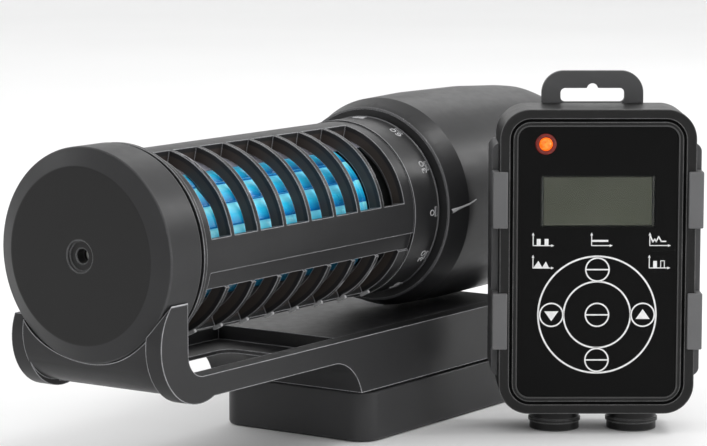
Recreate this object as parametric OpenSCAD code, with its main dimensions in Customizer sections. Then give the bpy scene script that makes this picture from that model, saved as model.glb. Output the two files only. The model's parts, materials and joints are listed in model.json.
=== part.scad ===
// Magnet-mounted cross-flow wave maker pump with its keypad controller.
// Millimetres. +X runs along the pump from the end cap to the motor, +Z is up,
// and the origin is the centre of the magnet block's flat bottom face.

/* [End cap] */
// Radius of the end cap
cap_r = 33; // [28:0.5:40]
// Length of the end cap along the pump
cap_len = 17.4; // [14:0.1:26]
// Radius of the cap's flat front disc
cap_flat_r = 27.2; // [20:0.1:30]
// Depth of the bevel round the front disc
cap_bevel = 2.8; // [1:0.1:5]
// Radius of the stepped recess in the cap's centre
cap_recess_r = 4.8; // [3:0.1:8]
// Radius of the small hole inside that recess
cap_hole_r = 2.2; // [1:0.1:4]

/* [Grille barrel] */
// Outside radius of the grille barrel
cage_r = 29.75; // [25:0.05:36]
// Inside radius of the barrel, at the fins' inner edges
cage_in_r = 25; // [20:0.1:30]
// Distance from one fin to the next
fin_pitch = 13.6; // [8:0.1:20]
// Thickness of a fin
fin_t = 1.8; // [1:0.1:4]
// Start of the first slot
slot_start = 26.9; // [24:0.1:30]
// First fin's distance from the cap's front face
fin_start = 24; // [20:0.5:30]
// Full-width slots in a grille
slots = 8; // [4:1:10]
// Angle of the side panel's upper edge above horizontal
panel_top = 8.7; // [0:0.1:20]
// Angle of the panel's lower step below horizontal
panel_step = 11.7; // [5:0.1:20]
// Angle below horizontal where the lower grille starts
low_top = 22.8; // [15:0.1:30]
// Angle below horizontal where the lower grille ends
low_end = 65; // [45:1:80]
// Angle above horizontal where the top spine starts
spine = 79; // [60:1:86]
// Where the scale collar starts
collar_x = 137.6; // [120:0.1:150]
// Where the scale collar ends
collar_end = 152; // [140:0.1:165]
// Radius of the scale collar
collar_r = 30.2; // [28:0.1:34]

/* [Impeller] */
// Radius over the impeller's blades
imp_r = 24.2; // [18:0.1:26]
// Radius of the circle that a blade's centre of curvature runs on
blade_mid = 15.2; // [12:0.1:18]
// Outside radius of the stiffening rings
imp_in_r = 18.9; // [10:0.1:20]
// Number of blades
blades = 20; // [8:1:24]
// Radius of the ceramic shaft
shaft_r = 2.5; // [1.5:0.1:4]

/* [Motor] */
// Where the housing starts
house_x = 153.4; // [145:0.1:165]
// Radius of the housing's front edge
house_front_r = 33.2; // [30:0.1:38]
// Largest radius of the housing
house_r = 36.6; // [33:0.1:42]
// Where the housing shell ends and its rear cover starts
house_end = 244; // [220:1:270]

/* [Cradle and magnets] */
// Half width of the cradle
cradle_w = 30.7; // [26:0.1:38]
// Half width between the rails
rail_in = 24.7; // [18:0.1:30]
// Height of the pump's axis above the bottom face
axis_h = 72.8; // [60:0.1:90]
// Rail top, below the axis
rail_top = 36.4; // [34:0.1:42]
// Rail bottom, below the axis
rail_low = 43.3; // [40:0.1:50]
// Top of the floor between the rails, below the axis
tray_floor = 41.9; // [39:0.1:43]
// Seam between the two magnet blocks, below the axis
seam = 55; // [50:0.5:60]
// Front of the magnet blocks
block_x0 = 107; // [95:0.5:120]
// Rear of the magnet blocks
block_x1 = 208; // [190:0.5:220]
// Front of the outer magnet block
outer_x0 = 109; // [100:0.5:120]
// Half width of the outer magnet block
outer_w = 30.2; // [26:0.1:38]
// Corner radius of the outer magnet block
block_corner = 7.5; // [4:0.5:16]

/* [Controller] */
// Width of the controller's case
ctl_w = 65; // [50:0.5:90]
// Height of the controller's case
ctl_h = 102; // [80:0.5:140]
// Depth of the controller's case
ctl_d = 25; // [18:0.5:40]
// Corner radius of the case
ctl_corner = 10; // [4:0.5:14]
// Radius of a key
key_r = 4.2; // [3:0.1:7]
// Distance of the outer keys from the middle key
key_ring = 15.2; // [12:0.1:20]
// Height of a cable socket below the case
socket_h = 6.7; // [4:0.1:12]
// Radius of a cable socket
socket_r = 8.3; // [6:0.1:11]

/* [Hidden] */
mount_x = (outer_x0 + block_x1) / 2;
imp_x0 = 22.5;
imp_x1 = 118.5;
can_in = 13.4;
can_out = 14.4;
key_z = 57.8 - 17.5;
ctl_mid = 57.8;
screen_z = ctl_mid + 20.4;
led_z = ctl_mid + 39.5;
led_x = -17.4;
fine = 96;

// ---------- helpers ----------

module on_axis() translate([-mount_x, 0, axis_h]) children();

// Solid turned about the pump's axis from [radius, x] points.
module turned(pts) rotate([0, 90, 0]) rotate_extrude($fn = fine) polygon(pts);

module rod(x0, x1, r) translate([x0, 0, 0]) rotate([0, 90, 0])
  cylinder(h = x1 - x0, r = r, $fn = fine);

module tube(x0, x1, ro, ri) difference() {
  rod(x0, x1, ro);
  rod(x0 - 1, x1 + 1, ri);
}

// Ring sector between two angles, measured from the visible side (-Y) up towards +Z.
module sector(x0, x1, ri, ro, a0, a1) rotate([0, 90, 0]) rotate([0, 0, -(a1 + 90)])
  rotate_extrude(angle = a1 - a0, $fn = fine) translate([ri, x0])
    square([ro - ri, x1 - x0]);

// Disc lying across the pump, axis along Y.
module cross(x, z, r, w) translate([x, w, z]) rotate([90, 0, 0])
  cylinder(h = 2 * w, r = r, $fn = fine);

module box(x0, x1, y0, y1, z0, z1) translate([x0, y0, z0])
  cube([x1 - x0, y1 - y0, z1 - z0]);

module rounded(x0, x1, w, z0, z1, r) translate([0, 0, z0])
  linear_extrude(height = z1 - z0) rounded_2d(x0, x1, w, r);

module rounded_2d(x0, x1, w, r) union() {
  translate([x0 + r, -w]) square([x1 - x0 - 2 * r, 2 * w]);
  translate([x0, -w + r]) square([x1 - x0, 2 * w - 2 * r]);
  for (x = [x0 + r, x1 - r], y = [-w + r, w - r])
    translate([x, y]) circle(r = r, $fn = fine);
}

// ---------- barrel ----------

module end_cap() color([0.2, 0.2, 0.2]) on_axis() difference() {
  turned([[0, 0], [cap_flat_r, 0], [cap_r, cap_bevel], [cap_r, cap_len],
    [cage_r, cap_len], [cage_r, 4.5], [10, 4.5], [10, 15], [0, 15]]);
  rod(-1, 1.2, cap_recess_r);
  rod(-1, 20, cap_hole_r);
  rod(5, 20, 6);
}

module cap_bush() color([0.1, 0.1, 0.1]) on_axis()
  tube(5, 15, 6, shaft_r + 0.06);

module grille(a0, a1) for (i = [0:slots - 1])
  sector(max(slot_start, fin_start + i * fin_pitch + fin_t / 2),
    fin_start + (i + 1) * fin_pitch - fin_t / 2, cage_in_r - 2, cage_r + 1, a0, a1);

module cage() color([0.24, 0.24, 0.25]) on_axis() difference() {
  union() {
    tube(8, collar_x, cage_r, cage_in_r);
    // flange behind the end cap
    tube(cap_len + 1.5, cap_len + 3, cap_r - 0.2, cage_r - 0.8);
  }
  grille(panel_top, spine);
  grille(180 - spine, 180 - panel_top);
  grille(-low_end, -low_top);
  sector(slot_start - 0.3, collar_x, cage_r - 0.6, cage_r + 1, -low_top - 0.4, -panel_step);
}

module scale_collar() color([0.24, 0.24, 0.25]) on_axis() {
  difference() {
    rod(collar_x, collar_end, collar_r);
    rod(collar_x - 1, 144, cage_in_r);
    rod(143, collar_end + 1, 27);
  }
  for (a = [0:30:330])
    sector(149.4, 150.4, collar_r - 0.4, collar_r + 0.35, a - 3, a + 3);
}

// Curved vane that parts the inlet side from the outlet side.
module inner_baffle() color([0.5, 0.5, 0.55]) on_axis() {
  sector(23.2, 136, cage_in_r - 0.5, cage_in_r, spine - 16, 196 - spine);
  sector(23.2, 136, cage_in_r - 0.5, cage_in_r, -low_end - 2, -low_top - 15.5);
}

// ---------- impeller ----------

// Curved plate: its head lies along the rim and its tail turns in under the next one.
module blade() intersection() {
  translate([blade_mid, 0]) difference() {
    circle(r = imp_r - blade_mid, $fn = fine);
    circle(r = imp_r - blade_mid - 1.1, $fn = fine);
  }
  translate([blade_mid, 0]) polygon([[0, 0], [20 * cos(10), 20 * sin(10)], [25, 0],
    [25, -20], [20 * cos(75), -20 * sin(75)]]);
}

module impeller_blades() color([0.15, 0.55, 0.9]) on_axis()
  translate([imp_x0 + 2, 0, 0]) rotate([0, 90, 0])
    for (i = [0:blades - 1]) rotate([0, 0, i * 360 / blades - 0.7])
      linear_extrude(height = imp_x1 - imp_x0 - 4) blade();

module impeller_discs() color([0.1, 0.4, 0.75]) on_axis() difference() {
  union() {
    rod(imp_x0, imp_x0 + 2, imp_r);
    rod(imp_x1 - 2, imp_x1, imp_r);
    rod(imp_x0, imp_x0 + 8, 6);
    rod(imp_x1 - 8, 134, 6);
  }
  rod(imp_x0 - 1, 140, shaft_r);
}

module impeller_rings() color([0.1, 0.4, 0.75]) on_axis()
  for (i = [1:3]) let (x = imp_x0 + i * (imp_x1 - imp_x0) / 4)
    tube(x - 0.6, x + 0.6, imp_in_r, imp_in_r - 2);

module shaft() color([0.9, 0.9, 0.88]) on_axis() rod(6, 210, shaft_r);

module shaft_washers() color([0.85, 0.85, 0.8]) on_axis() {
  tube(15.4, 16.6, 5, shaft_r);
  tube(134, 136, 5, shaft_r);
}

module rotor_magnet() color([0.35, 0.35, 0.36]) on_axis() tube(162, 204, 12.2, shaft_r);

module rotor_sleeve() color([0.1, 0.4, 0.75]) on_axis() difference() {
  union() {
    rod(158, 206, 12.8);
    rod(136, 158, 6);
  }
  rod(162, 204, 12.2);
  rod(130, 210, shaft_r);
}

// ---------- motor ----------

module motor_housing() color([0.22, 0.22, 0.23]) on_axis() difference() {
  union() {
    turned([[14.5, house_x], [house_front_r - 0.4, house_x], [house_front_r, house_x + 0.6],
      [36, 162], [house_r, 182], [36.3, 215], [35, 238], [34.4, house_end],
      [31.9, house_end], [33, 230], [33.6, 182], [33.2, 165], [31, 157.4], [14.5, 157.4]]);
    // spigot that the scale collar turns on
    tube(house_x - 7, house_x, 26.9, 23.5);
  }
  for (x = [174, 198]) translate([x, 0, -38]) cylinder(h = 5.4, r = 1.5, $fn = 32);
}

// Closed nose that reaches into the barrel as far as the impeller.
module motor_nose() color([0.16, 0.17, 0.17]) on_axis() difference() {
  rod(121.4, 150.6, 23.4);
  rod(123.6, 151, 21.2);
  rod(120, 125, 7.5);
}

module motor_can() color([0.3, 0.3, 0.32]) on_axis() difference() {
  union() {
    rod(150.6, house_x, 23.4);
    rod(150.6, 213, can_out);
  }
  rod(150, 209, can_in);
  rod(208, 211.4, 5);
}

module rear_bush() color([0.1, 0.1, 0.1]) on_axis()
  tube(206.6, 211.4, 5, shaft_r + 0.06);

module stator_core() color([0.55, 0.55, 0.57]) on_axis() difference() {
  tube(168, 198, 32.8, can_out + 0.1);
  for (i = [0:5]) rotate([i * 60, 0, 0]) box(167, 199, -4.5, 4.5, 16, 25);
}

module stator_coils() color([0.7, 0.4, 0.2]) on_axis()
  for (i = [0:5]) rotate([i * 60, 0, 0]) box(163, 203, -4.2, 4.2, 16.6, 24.6);

module driver_board() color([0.1, 0.35, 0.2]) on_axis() rod(215, 216.6, 30);

module potting() color([0.08, 0.08, 0.08]) on_axis() rod(217, 232, 32.6);

module rear_cover() color([0.22, 0.22, 0.23]) on_axis() difference() {
  turned([[0, 239], [31.8, 239], [31.8, house_end], [34.4, house_end],
    [33, 249], [27, 252], [0, 252]]);
  rod(238, 253, 3.3);
  tube(240, 242, 33, 30.2);
}

module rear_seal() color([0.05, 0.05, 0.05]) on_axis() tube(240, 242, 31.7, 30.2);

module cable_gland() color([0.15, 0.15, 0.15]) on_axis() difference() {
  union() {
    rod(252, 256, 9);
    rod(256, 262, 6.5);
  }
  rod(250, 270, 3.3);
}

module gland_nut() color([0.15, 0.15, 0.15]) on_axis() difference() {
  translate([256, 0, 0]) rotate([0, 90, 0]) cylinder(h = 8, r = 9.4, $fn = 6);
  rod(255, 262, 6.5);
  rod(255, 270, 3.3);
}

// ---------- cradle ----------

module cradle_body() {
  // front arms: one big disc each, cut off behind; the far one is lower
  intersection() {
    cross(19, -26, 18.7, cradle_w);
    box(-5, 40, -cradle_w, -rail_in, -60, 0);
  }
  intersection() {
    cross(20.5, -28, 16.9, cradle_w);
    box(-5, 40, rail_in, cradle_w, -60, -20.6);
  }
  // recessed front wall between the arms
  intersection() {
    difference() {
      cross(19, -26, 16.6, rail_in + 0.5);
      cross(19, -26, 13.2, rail_in + 2);
    }
    box(-5, 24, -rail_in - 0.5, rail_in + 0.5, -60, -20);
  }
  for (s = [-1, 1])
    box(19, block_x1 - 6, min(s * rail_in, s * cradle_w), max(s * rail_in, s * cradle_w),
      -rail_low, -rail_top);
  // floor between the rails
  box(19, 90, -rail_in - 0.5, rail_in + 0.5, -rail_low, -tray_floor);
  difference() {
    rounded(85, block_x1, cradle_w, -seam, -rail_top, 5);
    box(80, 101, -rail_in, rail_in, -tray_floor, 0);
    box(80, 89.3, -40, 40, -60, -rail_low);
    cross(89.3, -60, 16.8, 40);
    box(84, 111, -40, 40, -60, -56.8);
  }
}

module cradle() color([0.26, 0.26, 0.27]) on_axis() difference() {
  cradle_body();
  // window in the floor
  rounded(46, 88.5, 11.6, -60, -tray_floor + 1, 5);
  // clear space behind the arms and above the rails, with a rounded corner
  difference() {
    box(13.3, 45, -40, 40, -rail_top, 5);
    difference() {
      box(13.2, 20.8, -41, 41, -rail_top - 1, -rail_top + 7.5);
      cross(20.8, -rail_top + 7.5, 7.5, 42);
    }
  }
  rod(-10, 24, cap_r + 0.4);
  // platform a little lower than the rails, with a shallow saddle for the housing
  box(101, block_x1 + 1, -rail_in, rail_in, -rail_top - 0.6, -30);
  rod(150, block_x1 + 1, house_r + 0.05);
  // pad grooves
  intersection() {
    tube(5, 11, cap_r + 1.4, cap_r);
    union() for (s = [-1, 1]) box(0, 20, s * 25.9 - 0.9, s * 25.9 + 0.9, -24, -20.8);
  }
  // magnet pocket
  box(block_x0 + 4, block_x1 - 4, -27.5, 27.5, -seam - 1, -40.6);
  for (x = [174, 198]) {
    translate([x, 0, -45]) cylinder(h = 12, r = 1.6, $fn = 32);
    translate([x, 0, -45]) cylinder(h = 6, r = 3.1, $fn = 32);
  }
}

module saddle_pads() color([0.05, 0.05, 0.05]) on_axis() intersection() {
  tube(5, 11, cap_r + 1.4, cap_r + 0.3);
  union() for (s = [-1, 1]) box(0, 20, s * 25.9 - 0.9, s * 25.9 + 0.9, -24, -20.8);
}

module inner_yoke() color([0.6, 0.6, 0.62]) on_axis() difference() {
  box(block_x0 + 4.2, block_x1 - 4.2, -27.3, 27.3, -43, -41);
  for (x = [174, 198]) translate([x, 0, -45]) cylinder(h = 6, r = 3.6, $fn = 32);
}

module magnets(z0, z1, inset) for (x = [113, 136, 159, 182], y = [-26.5, 1])
  box(x + inset, x + 21 - inset, y + inset, y + 25.5 - inset, z0, z1);

module inner_magnets() color([0.62, 0.62, 0.64]) on_axis() magnets(-51.5, -43, 0);

module inner_cover() color([0.2, 0.2, 0.2]) on_axis() difference() {
  box(block_x0 + 4.1, block_x1 - 4.1, -27.4, 27.4, -seam, -51.6);
  box(block_x0 + 30, block_x0 + 31, -20, 20, -seam - 1, -seam + 0.4);
}

module cradle_screws() color([0.7, 0.7, 0.72]) on_axis() for (x = [174, 198]) {
  translate([x, 0, -40.8]) cylinder(h = 7, r = 1.5, $fn = 32);
  translate([x, 0, -40.9]) cylinder(h = 1.8, r = 2.9, $fn = 32);
}

// ---------- outer magnet block ----------

module outer_case() color([0.18, 0.18, 0.18]) on_axis() difference() {
  rounded(outer_x0, block_x1, outer_w, -axis_h, -seam - 0.9, block_corner);
  rounded(outer_x0 + 3, block_x1 - 3, outer_w - 3, -axis_h + 3, -seam, block_corner - 3);
}

module outer_yoke() color([0.6, 0.6, 0.62]) on_axis()
  rounded(outer_x0 + 3.1, block_x1 - 3.1, outer_w - 3.1, 3 - axis_h, 5 - axis_h, block_corner - 3);

module outer_magnets() color([0.62, 0.62, 0.64]) on_axis() magnets(5 - axis_h, -59, 1.5);

module outer_lid() color([0.2, 0.2, 0.2]) on_axis()
  rounded(outer_x0 + 3.1, block_x1 - 3.1, outer_w - 3.1, -58.8, -seam - 0.9,
    block_corner - 3);

module outer_pad() color([0.08, 0.08, 0.08]) on_axis()
  rounded(outer_x0 + 1, block_x1 - 1, outer_w - 1, -seam - 0.9, -seam - 0.35,
    block_corner - 1);

// ---------- controller, drawn facing -Y and then turned ----------

module at_controller() translate([7.9, -83.5, 0]) rotate([0, 0, -55]) children();

// Plate with rounded corners, standing up, from y0 to y1.
module plate(w, h, r, y0, y1) translate([0, y1, ctl_mid]) rotate([90, 0, 0])
  linear_extrude(height = y1 - y0) rounded_2d(-w / 2, w / 2, h / 2, r);

module dowel(x, z, r, y0, y1) translate([x, y1, z]) rotate([90, 0, 0])
  cylinder(h = y1 - y0, r = r, $fn = fine);

module key_spots() for (p = [[0, 0], [0, 1], [0, -1], [1, 0], [-1, 0]])
  translate([p[0] * key_ring, 0, key_z + p[1] * key_ring]) children();

module socket_spots() for (x = [-13, 13]) translate([x, ctl_d / 2 - 0.5, 0]) children();

module ctl_front() color([0.1, 0.1, 0.1]) at_controller() difference() {
  plate(ctl_w, ctl_h, ctl_corner, 0, 14);
  plate(ctl_w - 5, ctl_h - 5, ctl_corner - 2.5, 3.2, 15);
  plate(53.2, 90.7, 4.1, -1, 1);
  // groove round the face
  difference() {
    plate(58.3, 95.7, 7, -1, 0.8);
    plate(56.3, 93.7, 6, -2, 2);
  }
  socket_spots() cylinder(h = 12, r = 6.05, $fn = fine);
  box(-18.2, 18.2, -1, 5, screen_z - 8.3, screen_z + 8.3);
  dowel(led_x, led_z, 2.6, -1, 5);
  key_spots() translate([0, 5, 0]) rotate([90, 0, 0]) cylinder(h = 6, r = 3.6, $fn = fine);
}

module ctl_back() color([0.1, 0.1, 0.1]) at_controller() difference() {
  plate(ctl_w, ctl_h, ctl_corner, 14, ctl_d);
  plate(ctl_w - 5, ctl_h - 5, ctl_corner - 2.5, 13, ctl_d - 2.5);
  socket_spots() cylinder(h = 12, r = 6.05, $fn = fine);
  for (x = [-25, 25], z = [-42, 42]) dowel(x, ctl_mid + z, 1.6, 20, 30);
}

module ctl_gasket() color([0.05, 0.05, 0.05]) at_controller() difference() {
  plate(ctl_w - 5.1, ctl_h - 5.1, ctl_corner - 2.6, 13, 15);
  plate(ctl_w - 8, ctl_h - 8, ctl_corner - 4, 12, 16);
}

module ctl_holder() color([0.35, 0.35, 0.36]) at_controller() difference() {
  union() {
    // back plate and side rails
    plate(69.8, 78.6, 3, 6, ctl_d + 2.5);
    // hanging tab
    translate([0, ctl_d + 2.5, ctl_mid]) rotate([90, 0, 0]) linear_extrude(height = 2.4)
      union() {
        translate([-17.2, 30]) square([34.4, 24.3]);
        translate([-9.7, 30]) square([19.4, 31.8]);
        for (x = [-9.7, 9.7]) translate([x, 54.3]) circle(r = 7.5, $fn = fine);
      }
  }
  translate([0, 0, ctl_mid]) box(-ctl_w / 2 - 0.05, ctl_w / 2 + 0.05, 0, ctl_d + 0.05, -60, 60);
  translate([0, 40, ctl_mid + 53.6]) rotate([90, 0, 0]) linear_extrude(height = 20)
    rounded_2d(-10.8, 10.8, 2.3, 1.6);
  dowel(0, ctl_mid + 55.6, 1.9, 20, 40);
}

module ctl_clips() color([0.5, 0.5, 0.52]) at_controller()
  for (s = [-1, 1], z = [11.5, -29.1]) translate([0, 0, ctl_mid + z]) {
    box(min(s * 32.6, s * 34.9), max(s * 32.6, s * 34.9), -1.4, 6, 0, 18.9);
    box(min(s * 29.9, s * 32.6), max(s * 29.9, s * 32.6), -1.4, 0, 0, 18.9);
  }

module ctl_face() color([0.05, 0.05, 0.05]) at_controller() difference() {
  plate(53, 90.5, 4, 0.2, 1);
  box(-18.9, 18.9, -1, 5, screen_z - 8.5, screen_z + 8.5);
  dowel(led_x, led_z, 2.3, -1, 5);
  key_spots() translate([0, 5, 0]) rotate([90, 0, 0])
    cylinder(h = 6, r = key_r + 0.3, $fn = fine);
}

module ctl_window() color([0.7, 0.75, 0.7, 0.4]) at_controller()
  box(-18.8, 18.8, 0.3, 0.95, screen_z - 8.4, screen_z + 8.4);

module ctl_screen() color([0.4, 0.42, 0.36]) at_controller()
  box(-18, 18, 1.1, 6.9, screen_z - 8.1, screen_z + 8.1);

module ctl_led() color([1, 0.4, 0.1]) at_controller() {
  dowel(led_x, led_z, 2.2, 0, 7);
}

module key(dx, dz) color([0.08, 0.08, 0.08]) at_controller()
  translate([dx * key_ring, 0, key_z + dz * key_ring]) {
    translate([0, 0.4, 0]) rotate([90, 0, 0]) cylinder(h = 0.5, r = key_r, $fn = fine);
    translate([0, 5.6, 0]) rotate([90, 0, 0]) cylinder(h = 5.2, r = 3.2, $fn = fine);
  }

module key_up() key(0, 1);
module key_down() key(0, -1);
module key_left() key(-1, 0);
module key_right() key(1, 0);
module key_middle() key(0, 0);

module ctl_board() color([0.1, 0.35, 0.2]) at_controller() plate(57, 92, 4, 9, 10.6);

module ctl_switches() color([0.2, 0.2, 0.2]) at_controller() key_spots() {
  translate([-3, 7.2, -3]) cube([6, 1.8, 6]);
  translate([0, 7.2, 0]) rotate([90, 0, 0]) cylinder(h = 0.9, r = 1.5, $fn = 32);
}

module socket(x) color([0.08, 0.08, 0.08]) at_controller()
  translate([x, ctl_d / 2 - 0.5, 0]) difference() {
    union() {
      cylinder(h = socket_h, r = socket_r, $fn = fine);
      translate([0, 0, 2.7]) cylinder(h = 1.2, r = socket_r + 0.5, $fn = fine);
      translate([0, 0, socket_h]) cylinder(h = 2.4, r = 6, $fn = fine);
    }
    translate([0, 0, -1]) cylinder(h = 6, r = 6.2, $fn = fine);
    translate([0, 0, 3]) cylinder(h = 7, r = 4, $fn = fine);
  }

module socket_pump() socket(13);
module socket_power() socket(-13);

module socket_pins() color([0.8, 0.65, 0.3]) at_controller()
  socket_spots() translate([0, 0, 6]) {
    cylinder(h = 3, r = 3.9, $fn = 48);
    for (a = [0:120:240]) rotate([0, 0, a]) translate([2, 0, -0.9])
      cylinder(h = 1, r = 0.5, $fn = 24);
  }

module ctl_screws() color([0.7, 0.7, 0.72]) at_controller()
  for (x = [-25, 25], z = [-42, 42]) {
    dowel(x, ctl_mid + z, 1.5, 16, ctl_d);
  }

end_cap();
cap_bush();
cage();
scale_collar();
inner_baffle();
impeller_blades();
impeller_discs();
impeller_rings();
shaft();
shaft_washers();
rotor_magnet();
rotor_sleeve();
motor_housing();
motor_nose();
motor_can();
rear_bush();
stator_core();
stator_coils();
driver_board();
potting();
rear_cover();
rear_seal();
cable_gland();
gland_nut();
cradle();
saddle_pads();
inner_yoke();
inner_magnets();
inner_cover();
cradle_screws();
outer_case();
outer_yoke();
outer_magnets();
outer_lid();
outer_pad();
ctl_front();
ctl_back();
ctl_gasket();
ctl_holder();
ctl_clips();
ctl_face();
ctl_window();
ctl_screen();
ctl_led();
key_up();
key_down();
key_left();
key_right();
key_middle();
ctl_board();
ctl_switches();
socket_pump();
socket_power();
socket_pins();
ctl_screws();
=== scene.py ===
"""Looks of the wave maker pump and its controller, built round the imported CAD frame."""

import json
import math

import bmesh
import bpy
from mathutils import Matrix, Vector


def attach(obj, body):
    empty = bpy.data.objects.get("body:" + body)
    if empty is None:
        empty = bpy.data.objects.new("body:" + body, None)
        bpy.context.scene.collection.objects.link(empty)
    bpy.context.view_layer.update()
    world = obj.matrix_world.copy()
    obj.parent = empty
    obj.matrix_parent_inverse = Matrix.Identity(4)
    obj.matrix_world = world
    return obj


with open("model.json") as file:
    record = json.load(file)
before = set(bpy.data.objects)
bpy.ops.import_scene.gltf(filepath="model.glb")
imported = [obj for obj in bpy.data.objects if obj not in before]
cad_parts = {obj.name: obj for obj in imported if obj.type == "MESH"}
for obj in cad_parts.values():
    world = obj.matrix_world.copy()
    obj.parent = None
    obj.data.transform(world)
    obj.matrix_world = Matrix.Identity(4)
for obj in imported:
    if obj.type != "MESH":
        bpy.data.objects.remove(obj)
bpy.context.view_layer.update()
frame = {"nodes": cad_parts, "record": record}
NODES = frame["nodes"]

MM = 0.001
AXIS_H = 72.8  # pump axis above the base, mm
MID_X = 158.5  # distance from the cap's front face to the origin, mm
CTL_X, CTL_Y, CTL_TURN = 7.9, -83.5, -55.0  # controller's place, mm and degrees
CTL_MID = 57.8  # middle of the controller's face above the base, mm
KEY_Z = 40.3  # middle key above the base, mm
KEY_RING = 15.2  # from the middle key to each outer key, mm
PRINT = (0.12, 0.24)  # front and back of the printed marks along the controller's depth, mm
CAP_FACE = (27.1, 27.4)  # where the cap's flat face, painted darker as shade, gives way to its bevel, mm from the pump's axis
BARREL_DEPTH = (27.9, 28.3)  # where the fins' inner parts, painted paler as light, give way to the barrel's outside, mm from the axis
FIN_START = 24.0  # start of the first slot from the cap's front face, mm
FIN_PITCH = 13.6  # from one fin to the next, mm
FIN_COUNT = 8
BLADE_STEP = 18.0  # from one impeller blade to the next, degrees
BLADE_PHASE = 3.0  # from the level line down to the nearest blade's head, degrees
SHADED_BLADES = (0.062, 0.080)  # heights between which the blades' painted shade gives way to full colour, m
PALE_INSERT = (0.085, 0.097)  # heights between which the grey insert's painted shade turns to a pale painted sheen, m
CTL_MATRIX = Matrix.Translation((CTL_X * MM, CTL_Y * MM, 0)) @ Matrix.Rotation(
    math.radians(CTL_TURN), 4, "Z"
)


# ---------- camera, floor and light ----------


def look_at(obj, target):
    """Turns a camera or a light, once it is in place, to face a point."""
    direction = Vector(target) - obj.location
    obj.rotation_euler = direction.to_track_quat("-Z", "Y").to_euler()


def add_camera():
    data = bpy.data.cameras.new("camera")
    data.sensor_width = 36.0
    data.lens = 148.4
    data.clip_start = 0.01
    data.clip_end = 50
    cam = bpy.data.objects.new("camera", data)
    bpy.context.scene.collection.objects.link(cam)
    cam.location = (-0.8253, -0.5600, 0.1980)
    look_at(cam, (-0.01356, 0.0, 0.06713))
    bpy.context.scene.camera = cam
    bpy.context.scene.view_settings.view_transform = "Standard"


def area_light(name, place, target, size, power):
    """White rectangular light, with its place, target and size in metres."""
    data = bpy.data.lights.new(name, "AREA")
    data.shape = "RECTANGLE"
    data.size, data.size_y = size
    data.energy = power
    light = bpy.data.objects.new(name, data)
    bpy.context.scene.collection.objects.link(light)
    light.location = place
    look_at(light, target)


def add_floor(material):
    """A flat floor that curves up into a low wall all round, in metres."""
    flat_r, curve_r, sink, steps = 4.0, 1.2, 0.0001, 64
    profile = [(0.5, 0.0), (2.0, 0.0), (flat_r, 0.0)]
    for i in range(1, 13):
        a = math.radians(i * 7.5)
        profile.append((flat_r + curve_r * math.sin(a), curve_r - curve_r * math.cos(a)))
    profile.append((flat_r + curve_r, 2 * curve_r))
    bm = bmesh.new()
    rings = []
    for r, z in profile:
        rings.append([bm.verts.new((r * c, r * s, z - sink)) for c, s in round_steps(steps)])
    centre = bm.verts.new((0, 0, -sink))
    for a, b in zip(rings[0], rings[0][1:] + rings[0][:1]):
        bm.faces.new((centre, a, b))
    for a, b in zip(rings, rings[1:]):
        bridge(bm, a, b)
    floor = mesh_object("floor", bm, material, smooth=True)


def add_world():
    world = bpy.data.worlds.new("world")
    bpy.context.scene.world = world
    world.use_nodes = True
    node = world.node_tree.nodes["Background"]
    node.inputs["Color"].default_value = (1.0, 1.0, 1.0, 1)
    node.inputs["Strength"].default_value = 0.95


# ---------- materials ----------


def lin(r, g, b):
    """A colour given as 0-255 display values, as linear light."""
    out = []
    for v in (r, g, b):
        v /= 255.0
        out.append(v / 12.92 if v <= 0.04045 else ((v + 0.055) / 1.055) ** 2.4)
    return tuple(out)


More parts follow.
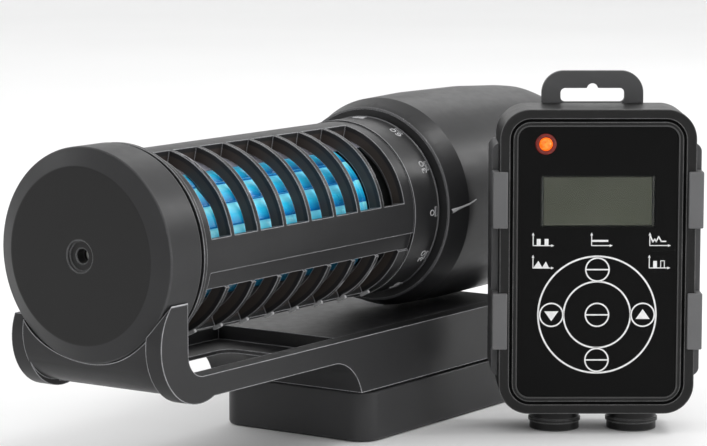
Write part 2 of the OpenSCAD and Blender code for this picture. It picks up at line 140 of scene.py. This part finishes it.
class Nodes:
    """Small helper that adds and links shader nodes of one material."""

    def __init__(self, name):
        self.mat = bpy.data.materials.new(name)
        self.mat.use_nodes = True
        self.tree = self.mat.node_tree
        self.bsdf = self.tree.nodes["Principled BSDF"]
        self.coord = self.add("ShaderNodeTexCoord")

    def add(self, kind, **props):
        node = self.tree.nodes.new(kind)
        for key, value in props.items():
            setattr(node, key, value)
        return node

    def link(self, a, b):
        self.tree.links.new(a, b)

    def noise(self, scale, detail=3.0, rough=0.5, stretch=None):
        tex = self.add("ShaderNodeTexNoise")
        tex.inputs["Scale"].default_value = scale
        tex.inputs["Detail"].default_value = detail
        tex.inputs["Roughness"].default_value = rough
        source = self.coord.outputs["Object"]
        if stretch:
            mapping = self.add("ShaderNodeMapping")
            mapping.inputs["Scale"].default_value = stretch
            self.link(source, mapping.inputs["Vector"])
            source = mapping.outputs["Vector"]
        self.link(source, tex.inputs["Vector"])
        return tex.outputs["Fac"]

    def remap(self, value, lo, hi, out_lo, out_hi):
        node = self.add("ShaderNodeMapRange")
        node.inputs["From Min"].default_value = lo
        node.inputs["From Max"].default_value = hi
        node.inputs["To Min"].default_value = out_lo
        node.inputs["To Max"].default_value = out_hi
        self.link(value, node.inputs["Value"])
        return node.outputs["Result"]

    def spread(self, cloud, low, high):
        """The middle of a noise's range, stretched to run from low to high."""
        return self.remap(cloud, 0.3, 0.7, low, high)

    def cloudy(self, cloud, a, b):
        """A colour that wanders between two with a noise."""
        return self.mix(self.spread(cloud, 0, 1), a, b)

    def mix(self, factor, a, b):
        node = self.add("ShaderNodeMix", data_type="RGBA")
        self.link(factor, node.inputs["Factor"])
        for value, socket in ((a, node.inputs["A"]), (b, node.inputs["B"])):
            if isinstance(value, tuple):
                socket.default_value = (*value[:3], 1.0)
            else:
                self.link(value, socket)
        return node.outputs["Result"]

    def maths(self, operation, a, b=0.0):
        node = self.add("ShaderNodeMath", operation=operation)
        for value, socket in ((a, node.inputs[0]), (b, node.inputs[1])):
            if isinstance(value, float):
                socket.default_value = value
            else:
                self.link(value, socket)
        return node.outputs["Value"]

    def edge(self, radius):
        """Mask of the painted edge highlight: 0 on flat faces, rising to 1 on an outer edge of about that
        radius.
        """
        bevel = self.add("ShaderNodeBevel", samples=6)
        bevel.inputs["Radius"].default_value = radius
        geo = self.add("ShaderNodeNewGeometry")
        dot = self.add("ShaderNodeVectorMath", operation="DOT_PRODUCT")
        self.link(bevel.outputs["Normal"], dot.inputs[0])
        self.link(geo.outputs["Normal"], dot.inputs[1])
        return self.remap(dot.outputs["Value"], 0.998, 0.92, 0.0, 1.0)

    def off_axis(self):
        """Distance from the pump's axis."""
        shift = self.add("ShaderNodeMapping")
        shift.inputs["Location"].default_value = (0, 0, -AXIS_H * MM)
        shift.inputs["Scale"].default_value = (0, 1, 1)
        self.link(self.coord.outputs["Object"], shift.inputs["Vector"])
        length = self.add("ShaderNodeVectorMath", operation="LENGTH")
        self.link(shift.outputs["Vector"], length.inputs[0])
        return length.outputs["Value"]

    def within(self, radii, inner, outer):
        """The inner colour near the pump's axis and the outer beyond it, changing between two radii in mm."""
        start, end = radii
        return self.mix(self.remap(self.off_axis(), start * MM, end * MM, 0, 1), inner, outer)

    def place(self):
        """The object's own x, y and z, as one node's outputs."""
        parts = self.add("ShaderNodeSeparateXYZ")
        self.link(self.coord.outputs["Object"], parts.inputs["Vector"])
        return parts.outputs

    def bump(self, height, strength, distance):
        node = self.add("ShaderNodeBump")
        node.inputs["Strength"].default_value = strength
        node.inputs["Distance"].default_value = distance
        self.link(height, node.inputs["Height"])
        self.link(node.outputs["Normal"], self.bsdf.inputs["Normal"])

    def put(self, socket, value):
        target = self.bsdf.inputs[socket]
        if isinstance(value, bpy.types.NodeSocket):
            self.link(value, target)
        else:
            target.default_value = value


def scaled(colour, k):
    """A colour made lighter or darker by a factor."""
    return tuple(min(1.0, c * k) for c in colour)


def plastic(name, colour, rough, spec, vary=0.08, grain=2600, grain_height=0.25,
            edge=None, edge_radius=0.0004, edge_amount=1.0, face=None, inside=None):
    """Moulded plastic with a fine texture and lighter edges, the lighter edges being a painted highlight.

    A face colour, painted darker as shade, covers the cap's flat front, and a paler inside colour, painted
    light, the faces deep in the barrel.
    """
    m = Nodes(name)
    base = m.cloudy(m.noise(38, 4), scaled(colour, 1 - vary), scaled(colour, 1 + vary))
    # painted shade: the cap's flat front is coloured darker than the rest of the cap
    if face:
        base = m.within(CAP_FACE, face, base)
    # painted light: the faces deep in the barrel are coloured paler
    if inside:
        base = m.within(BARREL_DEPTH, inside, base)
    # painted highlight along the rounded edges, made patchy by a noise
    if edge:
        highlight_patchiness = m.remap(m.noise(260, 3), 0.25, 0.75, 0.55 * edge_amount, edge_amount)
        base = m.mix(m.maths("MULTIPLY", m.edge(edge_radius), highlight_patchiness), base, edge)
    m.put("Base Color", base)
    m.put("Roughness", m.spread(m.noise(300, 3), rough - 0.02, rough + 0.03))
    m.put("Specular IOR Level", spec)
    m.bump(m.noise(grain, 2), grain_height, 0.00004)
    return m.mat


def metal(name, colour, rough, brushed=(1, 1, 30)):
    """Bare metal with a grain that the brushed scale draws out."""
    m = Nodes(name)
    streaks = m.noise(180, 4, 0.6, brushed)
    m.put("Base Color", m.cloudy(streaks, scaled(colour, 0.88), scaled(colour, 1.12)))
    m.put("Metallic", 1.0)
    m.put("Roughness", m.spread(streaks, rough - 0.06, rough + 0.1))
    m.bump(streaks, 0.15, 0.00003)
    return m.mat


def blue_plastic():
    """Glossy translucent blue with painted light and shade: each blade has a painted highlight under the next
    blade's head and painted shade deepening from there, the lower blades carry painted shade, and the blue
    glows a little as painted light.
    """
    m = Nodes("mat_blue_plastic")
    place = m.place()
    up = m.maths("SUBTRACT", place["Z"], AXIS_H * MM)
    out = m.maths("MULTIPLY", place["Y"], -1.0)
    # a full turn is added so that the angle stays positive
    turn = m.maths("ADD", m.maths("ARCTAN2", up, out), math.radians(BLADE_PHASE + 360))
    blade = m.maths("FRACT", m.maths("DIVIDE", turn, math.radians(BLADE_STEP)))
    ripple = m.spread(m.noise(170, 3, 0.5, (0.5, 1, 1)), -0.09, 0.09)
    across = m.maths("ADD", blade, ripple)
    # painted shade and painted highlight bands across each blade
    base = m.mix(m.remap(across, 0.04, 0.45, 0, 1), lin(10, 110, 178), lin(40, 184, 226))
    base = m.mix(m.remap(across, 0.5, 0.95, 0, 1), base, lin(140, 236, 248))
    # painted shade on the lower blades
    base = m.mix(m.remap(place["Z"], *SHADED_BLADES, 0, 1), lin(14, 66, 88), base)
    m.put("Base Color", base)
    m.put("Roughness", m.spread(m.noise(140, 3), 0.16, 0.3))
    m.put("Specular IOR Level", 0.6)
    # painted light: the blades glow though they are no lamp
    m.put("Emission Color", base)
    m.put("Emission Strength", 0.32)
    m.put("Coat Weight", 0.4)
    m.put("Coat Roughness", 0.08)
    m.bump(m.noise(300, 2), 0.12, 0.0001)
    return m.mat


def insert_plastic():
    """Grey moulding inside the barrel with painted light and shade: a pale painted sheen above the axis,
    painted shade below.
    """
    m = Nodes("mat_grey_insert")
    cloud = m.noise(60, 3)
    # painted sheen above the axis, painted shade below it
    high = m.remap(m.place()["Z"], *PALE_INSERT, 0, 1)
    dark = m.cloudy(cloud, lin(30, 30, 32), lin(38, 38, 41))
    pale = m.cloudy(cloud, lin(118, 118, 130), lin(165, 165, 178))
    m.put("Base Color", m.mix(high, dark, pale))
    m.put("Roughness", m.spread(cloud, 0.3, 0.42))
    m.bump(m.noise(1800, 2), 0.2, 0.00004)
    return m.mat


def glowing(name, dim, bright, strength, rough):
    """Lit plastic of the indicator, which glows in its own colour."""
    m = Nodes(name)
    cloud = m.noise(900, 2)
    base = m.cloudy(cloud, dim, bright)
    m.put("Base Color", base)
    m.put("Emission Color", base)
    m.put("Emission Strength", strength)
    m.put("Roughness", m.spread(cloud, rough, rough + 0.15))
    m.bump(cloud, 0.05, 0.00002)
    return m.mat


def screen_material():
    """Unlit display: a grey-green film with soft clouds."""
    m = Nodes("mat_screen")
    m.put("Base Color", m.cloudy(m.noise(22, 2), lin(72, 74, 65), lin(82, 84, 74)))
    m.put("Roughness", m.spread(m.noise(200, 2), 0.4, 0.46))
    m.put("Specular IOR Level", 0.3)
    m.bump(m.noise(400, 1), 0.03, 0.00001)
    return m.mat


def window_material():
    """Clear pane over the display."""
    m = Nodes("mat_window")
    m.put("Base Color", m.cloudy(m.noise(60, 2), (0.93, 0.95, 0.9), (0.98, 0.99, 0.96)))
    m.put("Transmission Weight", 1.0)
    m.put("IOR", 1.2)
    m.put("Roughness", m.spread(m.noise(200, 2), 0.0, 0.04))
    m.bump(m.noise(500, 1), 0.02, 0.00001)
    return m.mat


def ink_material():
    """White print on the black face."""
    m = Nodes("mat_ink")
    cloud = m.noise(700, 3)
    m.put("Base Color", m.cloudy(cloud, lin(222, 222, 222), lin(246, 246, 246)))
    m.put("Roughness", m.spread(cloud, 0.45, 0.6))
    m.bump(cloud, 0.1, 0.00002)
    return m.mat


def floor_material():
    """Plain pale studio floor."""
    m = Nodes("mat_floor")
    m.put("Base Color", m.cloudy(m.noise(3, 3), (0.91, 0.91, 0.91), (0.93, 0.93, 0.93)))
    m.put("Roughness", m.spread(m.noise(40, 2), 0.7, 0.8))
    m.put("Specular IOR Level", 0.2)
    m.bump(m.noise(400, 2), 0.03, 0.0002)
    return m.mat


# ---------- mesh helpers ----------


def round_steps(steps):
    """Cosine and sine at even steps round a circle."""
    angles = [2 * math.pi * k / steps for k in range(steps)]
    return [(math.cos(a), math.sin(a)) for a in angles]


def bridge(bm, a, b):
    """Faces between two closed loops that have as many points."""
    for k in range(len(a)):
        n = (k + 1) % len(a)
        bm.faces.new((a[k], a[n], b[n], b[k]))


def mesh_object(name, bm, material, smooth=False, body=None, matrix=None):
    """Object of a finished mesh. A piece of the model names its body, and the floor has none."""
    bmesh.ops.recalc_face_normals(bm, faces=bm.faces[:])
    mesh = bpy.data.meshes.new(name)
    bm.to_mesh(mesh)
    bm.free()
    for poly in mesh.polygons:
        poly.use_smooth = smooth
    obj = bpy.data.objects.new(name, mesh)
    bpy.context.scene.collection.objects.link(obj)
    obj.data.materials.append(material)
    if matrix is not None:
        obj.matrix_world = matrix
    if body:
        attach(obj, body)
    return obj


def soften(obj, width, segments=2, angle=30):
    """Rounds an object's sharp edges a little and keeps its flats flat."""
    bev = obj.modifiers.new("bevel", "BEVEL")
    bev.width = width
    bev.segments = segments
    bev.limit_method = "ANGLE"
    bev.angle_limit = math.radians(angle)
    bev.harden_normals = True
    bev.use_clamp_overlap = True


def dress(name, material, width, segments, angle):
    """Gives a CAD node its material, one merged mesh, and rounded edges."""
    obj = NODES[name]
    mesh = obj.data
    for attribute in ("custom_normal", "sharp_edge"):
        found = mesh.attributes.get(attribute)
        if found:
            mesh.attributes.remove(found)
    mesh.polygons.foreach_set("use_smooth", [True] * len(mesh.polygons))
    if not obj.material_slots:
        mesh.materials.append(material)
    for entry in obj.material_slots:
        entry.material = material
    weld = obj.modifiers.new("weld", "WELD")
    weld.merge_threshold = 0.000002
    flat = obj.modifiers.new("flat", "DECIMATE")
    flat.decimate_type = "DISSOLVE"
    flat.angle_limit = math.radians(0.4)
    if width:
        soften(obj, width, segments, angle)


def prism(bm, points, y0, y1):
    """Upright prism from (x, z) points between two y planes, all in mm."""
    front = [bm.verts.new((x * MM, y0 * MM, z * MM)) for x, z in points]
    back = [bm.verts.new((x * MM, y1 * MM, z * MM)) for x, z in points]
    bm.faces.new(front)
    bm.faces.new(back[::-1])
    bridge(bm, front, back)


def annulus(bm, cx, cz, r_in, r_out, y0, y1, steps):
    """Flat ring with a slightly crowned front, standing in the face's plane."""
    rise = 0.02
    middle = (r_in + r_out) / 2
    loops = []
    for r, y in ((r_in, y1), (r_in, y0 + rise), (middle, y0), (r_out, y0 + rise), (r_out, y1)):
        spots = [(cx + r * c, y, cz + r * s) for c, s in round_steps(steps)]
        loops.append([bm.verts.new((x * MM, y * MM, z * MM)) for x, y, z in spots])
    for a, b in zip(loops, loops[1:] + loops[:1]):
        bridge(bm, a, b)


def stroke(bm, points, width, y0, y1):
    """Line of one width through (x, z) points, as joined flat bars."""
    half = width / 2
    for (xa, za), (xb, zb) in zip(points, points[1:]):
        dx, dz = xb - xa, zb - za
        length = math.hypot(dx, dz)
        ux, uz = dx / length, dz / length
        nx, nz = -uz * half, ux * half
        ex, ez = ux * half * 0.6, uz * half * 0.6
        prism(bm, [(xa - ex + nx, za - ez + nz), (xa - ex - nx, za - ez - nz),
                   (xb + ex - nx, zb + ez - nz), (xb + ex + nx, zb + ez + nz)], y0, y1)


def on_barrel(x, radius, degrees):
    """Point on the pump's barrel: degrees run from the visible side up."""
    a = math.radians(degrees)
    return Vector(((x - MID_X) * MM, -radius * math.cos(a) * MM, (AXIS_H + radius * math.sin(a)) * MM))


def barrel_bar(bm, x0, x1, r0, r1, a0, a1, steps=6):
    """Block on the barrel between two lengths, radii and angles."""
    corners = ((x0, r0), (x0, r1), (x1, r1), (x1, r0))
    rows = []
    for k in range(steps + 1):
        a = a0 + (a1 - a0) * k / steps
        rows.append([bm.verts.new(on_barrel(x, r, a)) for x, r in corners])
    for a, b in zip(rows, rows[1:]):
        bridge(bm, a, b)
    bm.faces.new(rows[0][::-1])
    bm.faces.new(rows[-1])


def lathe(bm, profile, steps, matrix):
    """Surface of revolution about local z through (radius, height) points in mm, put in place by a matrix."""
    rings = []
    for r, z in profile:
        if r == 0:
            rings.append([bm.verts.new((0, 0, z * MM))])
        else:
            rings.append([bm.verts.new((r * MM * c, r * MM * s, z * MM)) for c, s in round_steps(steps)])
    for a, b in zip(rings, rings[1:]):
        for k in range(steps):
            n = (k + 1) % steps
            corners = [a[k % len(a)], a[n % len(a)], b[n % len(b)], b[k % len(b)]]
            unique = list(dict.fromkeys(corners))
            if len(unique) > 2:
                bm.faces.new(unique)
    bmesh.ops.transform(bm, matrix=matrix, verts=bm.verts[:])


# ---------- pieces too fine for the CAD ----------


def fin_nubs():
    """Small bumps at the lower ends of the fins, in the pale marks plastic as a painted highlight."""
    half = 0.6
    bm = bmesh.new()
    for k in range(1, FIN_COUNT + 1):
        x = FIN_START + FIN_PITCH * k
        barrel_bar(bm, x - half, x + half, 29.2, 30.7, -68.0, -61.0)
    # the pale marks colour on these bumps is a painted highlight
    nubs = mesh_object("fin_nubs", bm, LOOK["marks"], body="grille_barrel")
    soften(nubs, 0.0003)


# Strokes of each numeral, in a box 1 wide and 2 high.
DIGITS = {
    "0": [[(0.5, 0), (0.15, 0.3), (0.05, 1.0), (0.15, 1.7), (0.5, 2.0), (0.85, 1.7), (0.95, 1.0), (0.85, 0.3),
           (0.5, 0)]],
    "3": [[(0.1, 1.7), (0.4, 2.0), (0.8, 1.85), (0.85, 1.4), (0.45, 1.1)],
          [(0.45, 1.1), (0.9, 0.8), (0.9, 0.25), (0.5, 0), (0.08, 0.3)]],
    "6": [[(0.85, 1.8), (0.5, 2.0), (0.15, 1.5), (0.08, 0.6), (0.4, 0), (0.85, 0.25), (0.9, 0.8), (0.5, 1.1),
           (0.12, 0.8)]],
    "9": [[(0.15, 0.2), (0.5, 0), (0.85, 0.5), (0.92, 1.4), (0.6, 2.0), (0.15, 1.75), (0.1, 1.2), (0.5, 0.9),
           (0.88, 1.2)]],
}


def curve_object(name, lines, thickness, steps):
    """Round-section strokes, each a list of points with a relative thickness."""
    curve = bpy.data.curves.new(name, "CURVE")
    curve.dimensions = "3D"
    curve.bevel_depth = thickness * MM
    curve.bevel_resolution = steps
    for line in lines:
        spline = curve.splines.new("POLY")
        spline.points.add(len(line) - 1)
        for p, (spot, relative) in zip(spline.points, line):
            p.co = (*spot, 1)
            p.radius = relative
    obj = bpy.data.objects.new(name, curve)
    bpy.context.scene.collection.objects.link(obj)
    obj.data.materials.append(LOOK["marks"])
    return obj


def scale_numerals():
    """Raised numerals every 30 degrees on the collar."""
    collar_r = 30.2
    foot_x = 148.9  # foot of the numerals from the cap's front face, mm
    size, advance, tall = 2.0, 1.25, 1.15
    lines = []
    for value in range(0, 360, 30):
        folded = min(value, 360 - value)
        text = str(min(folded, 180 - folded))
        for i, char in enumerate(text):
            start = (i - len(text) / 2) * advance
            for strokes in DIGITS[char]:
                angles = [value + math.degrees((start + u) * size / collar_r) for u, v in strokes]
                feet = [foot_x - v * tall for u, v in strokes]
                lines.append([(on_barrel(x, collar_r, a), 1) for x, a in zip(feet, angles)])
    obj = curve_object("scale_numerals", lines, 0.2, 2)
    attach(obj, "grille_barrel")


def index_line():
    """Raised line on the housing that the scale is read against."""
    mouth_x, shoulder_x = 154.0, 162.0
    # distance from the cap's front face, angle and relative thickness
    stations = [(154.7, -0.5, 1.9), (155.6, 0.0, 1.9), (157.4, 0.8, 1.3), (159.6, 1.7, 0.9),
                (162.0, 2.7, 0.8), (164.2, 3.6, 0.7), (166.2, 4.5, 0.5)]
    line = []
    for x, angle, relative in stations:
        if x < shoulder_x:
            r = 33.25 + (x - mouth_x) * 0.35
        else:
            r = 36.05 + (x - shoulder_x) * 0.03
        line.append((on_barrel(x, r, angle), relative))
    obj = curve_object("index_line", [line], 0.38, 3)
    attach(obj, "cradle_and_motor")


def round_barrel(x):
    """Places a lathe's local z along the pump's axis, starting at x mm from the cap."""
    place = Matrix.Translation(((x - MID_X) * MM, 0, AXIS_H * MM))
    return place @ Matrix.Rotation(math.radians(90), 4, "Y")


def beads():
    """Thin raised rings on the collar, at the housing's mouth and on the inner nose, in a lighter glossy
    plastic as painted highlight along those edges.
    """
    rings = [("collar_bead", 151.2, 30.0, 30.55, 0.7, "grille_barrel", "pump_plastic"),
             ("housing_bead", 153.4, 32.6, 33.45, 0.6, "cradle_and_motor", "pump_plastic"),
             ("nose_rib", 133.6, 23.2, 24.4, 0.8, "cradle_and_motor", "cap_plastic")]
    for name, x, r0, r1, width, body, slot in rings:
        shoulder = r1 - 0.15
        bm = bmesh.new()
        profile = [(r0, 0), (shoulder, 0.02), (r1, 0.3 * width), (r1, 0.7 * width), (shoulder, width - 0.02),
                   (r0, width), (r0, 0)]
        lathe(bm, profile, 128, round_barrel(x))
        mesh_object(name, bm, LOOK["bead"], smooth=True, body=body)


def ring_lines():
    """The two printed rings that run just outside and just inside the outer keys."""
    bm = bmesh.new()
    annulus(bm, 0, KEY_Z, 19.3, 19.87, *PRINT, 120)
    annulus(bm, 0, KEY_Z, 10.85, 11.4, *PRINT, 96)
    mesh_object("ring_lines", bm, LOOK["ink"], body="controller", matrix=CTL_MATRIX)


def wave_symbols():
    """Five small diagrams of the pump's wave forms, each on its own pair of axes."""
    bm = bmesh.new()
    line = 0.3
    lift = 0.15  # foot of a figure above the level axis, mm

    def axes(x, z):
        stroke(bm, [(x, z), (x, z + 3.6)], line, *PRINT)
        prism(bm, [(x - 0.45, z + 3.4), (x + 0.45, z + 3.4), (x, z + 4.4)], *PRINT)
        stroke(bm, [(x, z), (x + 6.2, z)], line, *PRINT)
        prism(bm, [(x + 6.0, z - 0.45), (x + 7.0, z), (x + 6.0, z + 0.45)], *PRINT)

    def bar(x, z, w, h):
        prism(bm, [(x, z), (x + w, z), (x + w, z + h), (x, z + h)], *PRINT)

    upper, lower = CTL_MID + 5.7, CTL_MID - 1.8
    axes(-21.4, upper)
    bar(-20.2, upper + lift, 1.3, 2.1)
    bar(-17.6, upper + lift, 1.3, 2.1)
    axes(-2.0, upper)
    bar(-1.9, upper + 1.25, 5.4, 0.65)
    axes(17.3, upper)
    jagged = [(17.5, 3.2), (18.3, 1.2), (18.9, 2.2), (19.4, 1.3), (20.2, 3.0), (21.1, 1.4), (22.6, 1.4)]
    stroke(bm, [(x, upper + z) for x, z in jagged], 0.42, *PRINT)
    axes(-21.4, lower)
    prism(bm, [(-21.2, lower + lift), (-18.3, lower + lift), (-19.6, lower + 2.4)], *PRINT)
    prism(bm, [(-18.4, lower + lift), (-16.1, lower + lift), (-17.1, lower + 2.2)], *PRINT)
    axes(17.2, lower)
    bar(18.5, lower + lift, 1.25, 2.2)
    gate = [(21.0, 0.2), (21.0, 2.4), (22.2, 2.4), (22.2, 0.2)]
    stroke(bm, [(x, lower + z) for x, z in gate], 0.26, *PRINT)
    mesh_object("wave_symbols", bm, LOOK["ink"], body="controller", matrix=CTL_MATRIX)


def outline(width, height, radius, steps=8):
    """Points round an upright rounded rectangle centred on the controller's face."""
    points = []
    for turn, (sx, sz) in enumerate(((1, 1), (-1, 1), (-1, -1), (1, -1))):
        cx, cz = sx * (width / 2 - radius), CTL_MID + sz * (height / 2 - radius)
        for k in range(steps + 1):
            a = math.radians(90 * (turn + k / steps))
            points.append((cx + radius * math.cos(a), cz + radius * math.sin(a)))
    return points


def face_frame(name, outer, inner, y0, y1, material):
    """A thin frame between two outlines, each given as width, height and corner radius."""
    bm = bmesh.new()
    loops = []
    for size, y in ((inner, y1), (inner, y0), (outer, y0), (outer, y1)):
        loops.append([bm.verts.new((x * MM, y * MM, z * MM)) for x, z in outline(*size)])
    for a, b in zip(loops, loops[1:] + loops[:1]):
        bridge(bm, a, b)
    ring = mesh_object(name, bm, LOOK[material], body="controller", matrix=CTL_MATRIX)
    soften(ring, 0.0001)


def key_signs():
    """Ring and sign on each key, moving with it."""
    places = {"key_up": (0, 1), "key_down": (0, -1), "key_left": (-1, 0), "key_right": (1, 0),
              "key_middle": (0, 0)}
    key_face = -0.1
    y0, y1 = key_face - 0.06, key_face + 0.05
    for key, (dx, dz) in places.items():
        cx, cz = dx * KEY_RING, KEY_Z + dz * KEY_RING
        bm = bmesh.new()
        annulus(bm, cx, cz, 3.62, 4.1, y0, y1, 64)
        if key == "key_left":
            prism(bm, [(cx - 2.35, cz + 1.2), (cx, cz - 2.1), (cx + 2.35, cz + 1.2)], y0, y1)
        elif key == "key_right":
            prism(bm, [(cx - 2.35, cz - 1.4), (cx + 2.35, cz - 1.4), (cx, cz + 1.9)], y0, y1)
        else:
            stroke(bm, [(cx - 3.6, cz), (cx + 3.6, cz)], 0.46, y0, y1)
        mesh_object(key + "_sign", bm, LOOK["ink"], body=key + "_body",
                    matrix=CTL_MATRIX)


def indicator():
    """Domed lens with a glowing dark-red collar round it."""
    place = Matrix.Translation((-17.4 * MM, 0, (CTL_MID + 39.5) * MM))
    facing = place @ Matrix.Rotation(math.radians(90), 4, "X")
    dome = [(0, 1.0), (0.9, 0.9), (1.6, 0.55), (2.05, 0.0), (2.15, -0.8), (0, -0.8)]
    bm = bmesh.new()
    lathe(bm, dome, 48, facing)
    mesh_object("led_dome", bm, LOOK["led"], smooth=True, body="controller",
                matrix=CTL_MATRIX)
    collar = [(2.2, -0.5), (2.2, 0.0), (2.5, 0.12), (3.1, 0.08), (3.5, -0.15), (3.5, -0.5), (2.2, -0.5)]
    bm = bmesh.new()
    lathe(bm, collar, 56, facing)
    mesh_object("led_collar", bm, LOOK["led_glow"], smooth=True, body="controller",
                matrix=CTL_MATRIX)


# ---------- make everything ----------

add_camera()

# Light greys painted on the rounded edges as highlights.
PUMP_EDGE_HIGHLIGHT = lin(190, 190, 193)
BLOCK_EDGE_HIGHLIGHT = lin(185, 185, 188)
LOOK = {
    "pump": plastic("mat_pump_plastic", lin(41, 41, 42), 0.36, 0.24, edge=PUMP_EDGE_HIGHLIGHT, edge_radius=0.0005),
    # The barrel's faces deep between the fins are painted paler as light.
    "barrel": plastic("mat_barrel_plastic", lin(41, 41, 42), 0.36, 0.24, edge=PUMP_EDGE_HIGHLIGHT, edge_radius=0.0005,
                      inside=lin(64, 58, 55)),
    # The cap's flat face is painted darker as shade, and its edges get a painted highlight.
    "cap": plastic("mat_cap_plastic", lin(44, 44, 45), 0.36, 0.26, edge=lin(180, 180, 182),
                   edge_radius=0.0006, face=lin(24, 24, 24)),
    "block": plastic("mat_block_plastic", lin(42, 42, 43), 0.38, 0.2, edge=BLOCK_EDGE_HIGHLIGHT, edge_radius=0.0006),
    # A lighter copy of the block plastic: painted light making up for the shade the controller casts on the
    # outer block.
    "outer": plastic("mat_outer_block_lit", lin(54, 54, 55), 0.38, 0.2, edge=BLOCK_EDGE_HIGHLIGHT, edge_radius=0.0006),
    "nose": plastic("mat_nose", lin(16, 17, 17), 0.5, 0.15),
    "marks": plastic("mat_marks", lin(190, 190, 192), 0.35, 0.4),
    # painted highlight: lighter glossy grey for the thin rings along edges
    "bead": plastic("mat_bead_highlight", lin(78, 78, 80), 0.25, 0.6),
    "blue": blue_plastic(),
    "insert": insert_plastic(),
    "rubber": plastic("mat_rubber", lin(24, 24, 24), 0.75, 0.2, grain=1800, grain_height=0.4),
    "ceramic": plastic("mat_ceramic", lin(236, 236, 230), 0.18, 0.5, vary=0.04, grain_height=0.05),
    "resin": plastic("mat_resin", lin(22, 22, 22), 0.25, 0.5, grain=500),
    "board": plastic("mat_board", lin(20, 84, 48), 0.35, 0.5, grain=900),
    "steel": metal("mat_steel", lin(190, 190, 194), 0.28),
    "magnet": metal("mat_magnet", lin(150, 150, 156), 0.2, (1, 1, 1)),
    "copper": metal("mat_copper", lin(196, 118, 66), 0.3, (1, 12, 12)),
    "contacts": metal("mat_contacts", lin(224, 190, 110), 0.22),
    # The edge greys of the controller's plastics are painted highlights.
    "shell": plastic("mat_ctl_shell", lin(20, 20, 20), 0.36, 0.25, edge=lin(125, 125, 125),
                     edge_radius=0.0006),
    "holder": plastic("mat_ctl_grey", lin(80, 80, 81), 0.42, 0.3, edge=lin(120, 120, 122), edge_amount=0.8),
    "clip": plastic("mat_ctl_clip_grey", lin(100, 100, 101), 0.4, 0.3, edge=lin(128, 128, 130),
                    edge_amount=0.8),
    "overlay": plastic("mat_ctl_overlay", lin(11, 11, 11), 0.38, 0.08, vary=0.06, grain=3500,
                       grain_height=0.12),
    # near-black: painted shade in the groove round the controller's face
    "groove_shade": plastic("mat_groove_shade", lin(5, 5, 5), 0.7, 0.05),
    # lighter grey: painted highlight on the edge of the inner frame round the face
    "face_edge_grey": plastic("mat_face_edge_line", lin(66, 66, 66), 0.35, 0.3),
    "ink": ink_material(),
    "window": window_material(),
    "screen": screen_material(),
    "led": glowing("mat_led", lin(255, 84, 10), lin(255, 120, 30), 1.0, 0.2),
    "led_glow": glowing("mat_led_glow", lin(70, 8, 2), lin(110, 16, 4), 0.5, 0.3),
}

# Material of each slot in the record, and the nodes that have a shade of their own.
SLOT_MATERIAL = {
    "pump_plastic": "pump", "cap_plastic": "cap", "blue_plastic": "blue", "grey_insert": "insert",
    "rubber": "rubber", "ceramic": "ceramic", "magnet": "magnet", "steel": "steel", "copper": "copper",
    "resin": "resin", "board": "board", "block_plastic": "block", "ctl_shell": "shell",
    "ctl_grey": "holder", "ctl_clip_grey": "clip", "ctl_overlay": "overlay", "window": "window",
    "screen": "screen", "led": "led", "contacts": "contacts",
}
NODE_MATERIAL = {"motor_nose": "nose", "cage": "barrel", "outer_case": "outer"}

# Rounding of the edges: its width in metres, its steps, and the least bend in degrees that is rounded.
EDGE_WIDTH = {
    "cage": 0.00028, "end_cap": 0.0004, "cradle": 0.0008, "outer_case": 0.0011, "motor_housing": 0.0003,
    "ctl_front": 0.0008, "ctl_holder": 0.0004, "ctl_clips": 0.0004, "impeller_blades": 0.0,
}
EDGE_STEPS = {"cradle": 3, "end_cap": 3}
EDGE_ANGLE = {"end_cap": 17, "motor_housing": 14, "outer_case": 25}

for part in frame["record"]["subparts"]:
    node = part["node"]
    material = LOOK[NODE_MATERIAL.get(node, SLOT_MATERIAL[part["material_slot"]])]
    width = EDGE_WIDTH.get(node, 0.0002)
    dress(node, material, width, EDGE_STEPS.get(node, 2), EDGE_ANGLE.get(node, 30))

add_floor(floor_material())
add_world()
area_light("top", (0.50, -0.62, 1.25), (0, 0, 0.05), (0.35, 0.35), 5)
area_light("sky", (1.36, 0.50, 0.95), (0, 0, 0.05), (0.5, 0.5), 0.9)
area_light("side", (1.36, -0.70, 0.78), (0, 0, 0.05), (0.4, 0.4), 3.6)
area_light("front", (0.36, -1.60, 0.26), (0, 0, 0.08), (0.3, 0.3), 4)
area_light("strip", (-0.45, -1.40, 0.40), (-0.02, -0.03, 0.08), (0.08, 0.9), 0.8)
area_light("back", (-0.5, 1.3, 1.0), (0, 0, 0.05), (0.8, 0.8), 3)

fin_nubs()
scale_numerals()
index_line()
beads()
ring_lines()
wave_symbols()
# a black frame in the groove round the face, as painted shade
face_frame("groove_shade_frame", (58.25, 95.65, 6.95), (56.35, 93.75, 6.05), 0.25, 0.78, "groove_shade")
# a thin lighter frame round the face, as a painted highlight on the inner frame's edge
face_frame("face_edge_line", (54.0, 91.5, 4.5), (53.0, 90.5, 4.0), -0.12, 0.15, "face_edge_grey")
key_signs()
indicator()
